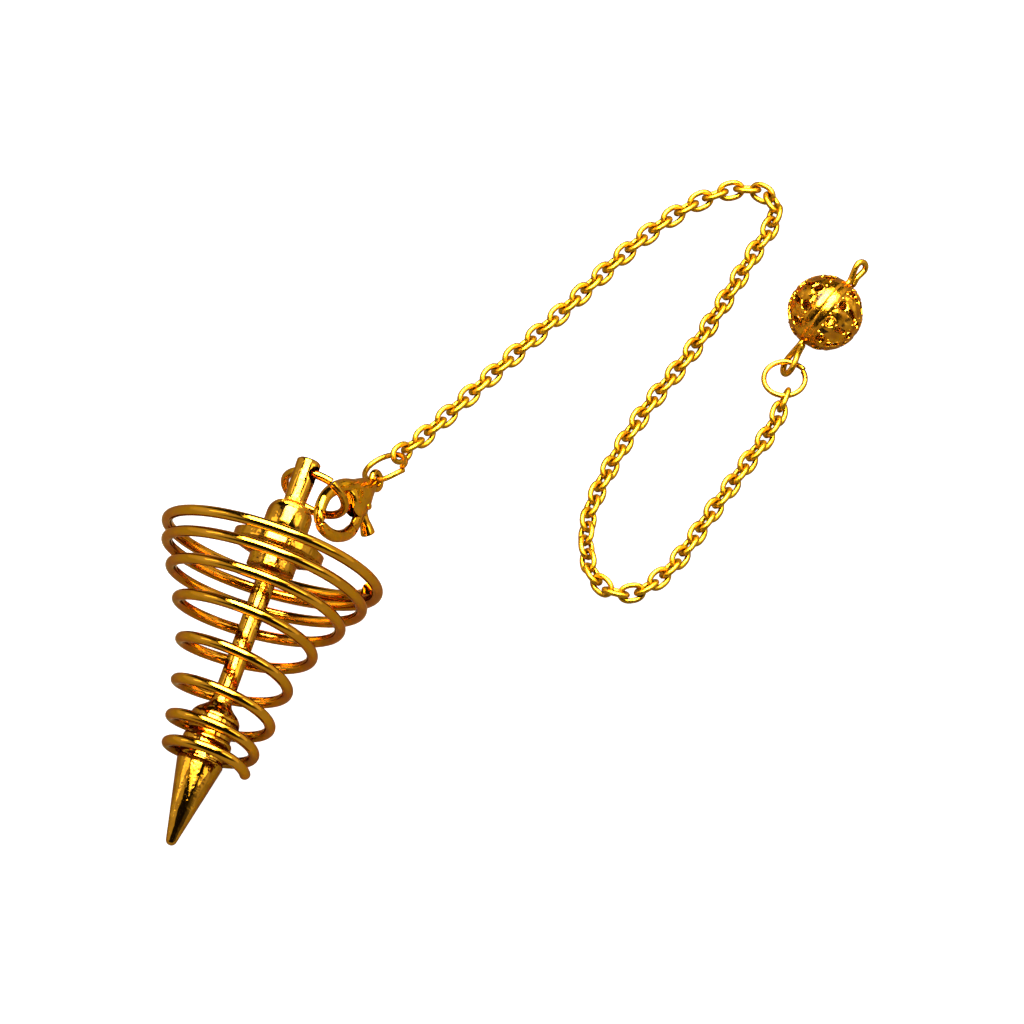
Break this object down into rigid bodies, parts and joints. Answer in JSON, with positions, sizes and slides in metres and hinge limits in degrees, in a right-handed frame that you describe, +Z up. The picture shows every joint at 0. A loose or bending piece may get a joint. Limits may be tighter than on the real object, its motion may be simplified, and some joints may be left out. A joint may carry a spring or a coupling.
{
  "type": "pendulum pendant",
  "caption": "Spiral cone pendulum with a cast core, a lobster clasp, a cable chain and a pierced ball as its grip, laid out on a table.",
  "frame": {"origin": "centre of the laid-out piece's outline box, on the table", "axes": "+X to the right and +Y away from the viewer across the table, +Z up from the table; the pendulum's tip points to -Y and a little to -X"},
  "size_m": [0.0744, 0.0843, 0.0235],
  "materials": {
    "core": "gold-plated, polished, cast",
    "coil": "gold-plated, polished, drawn",
    "bail_ring": "gold-plated, polished, drawn",
    "clasp_body": "gold-plated, polished, cast",
    "clasp_lever": "gold-plated, polished, stamped",
    "clasp_ring": "gold-plated, polished, drawn",
    "chain": "gold-plated, polished, drawn",
    "end_ring": "gold-plated, polished, drawn",
    "eye_pin": "gold-plated, polished, drawn",
    "ball": "gold-plated, polished, pierced"
  },
  "bodies": {
    "root": {"core": "core", "coil": "coil", "bail_ring": "bail_ring", "clasp_body": "clasp_body", "clasp_ring": "clasp_ring", "chain": "chain", "end_ring": "end_ring", "eye_pin": "eye_pin"},
    "lever": {"clasp_lever": "clasp_lever"},
    "grip": {"ball": "ball"}
  },
  "joints": [
    {"name": "lever_hinge", "type": "hinge", "parent": "root", "child": "lever", "pos_m": [-0.01639, -0.00125, 0.0035], "axis": [0.8607, -0.2479, 0.4448], "range_deg": [0, 22], "stiffness_Nm_per_rad": 0.002},
    {"name": "ball_spin", "type": "hinge", "parent": "root", "child": "grip", "pos_m": [0.03259, 0.02327, 0.004], "axis": [0.6113, 0.7286, 0.309], "continuous": true}
  ]
}
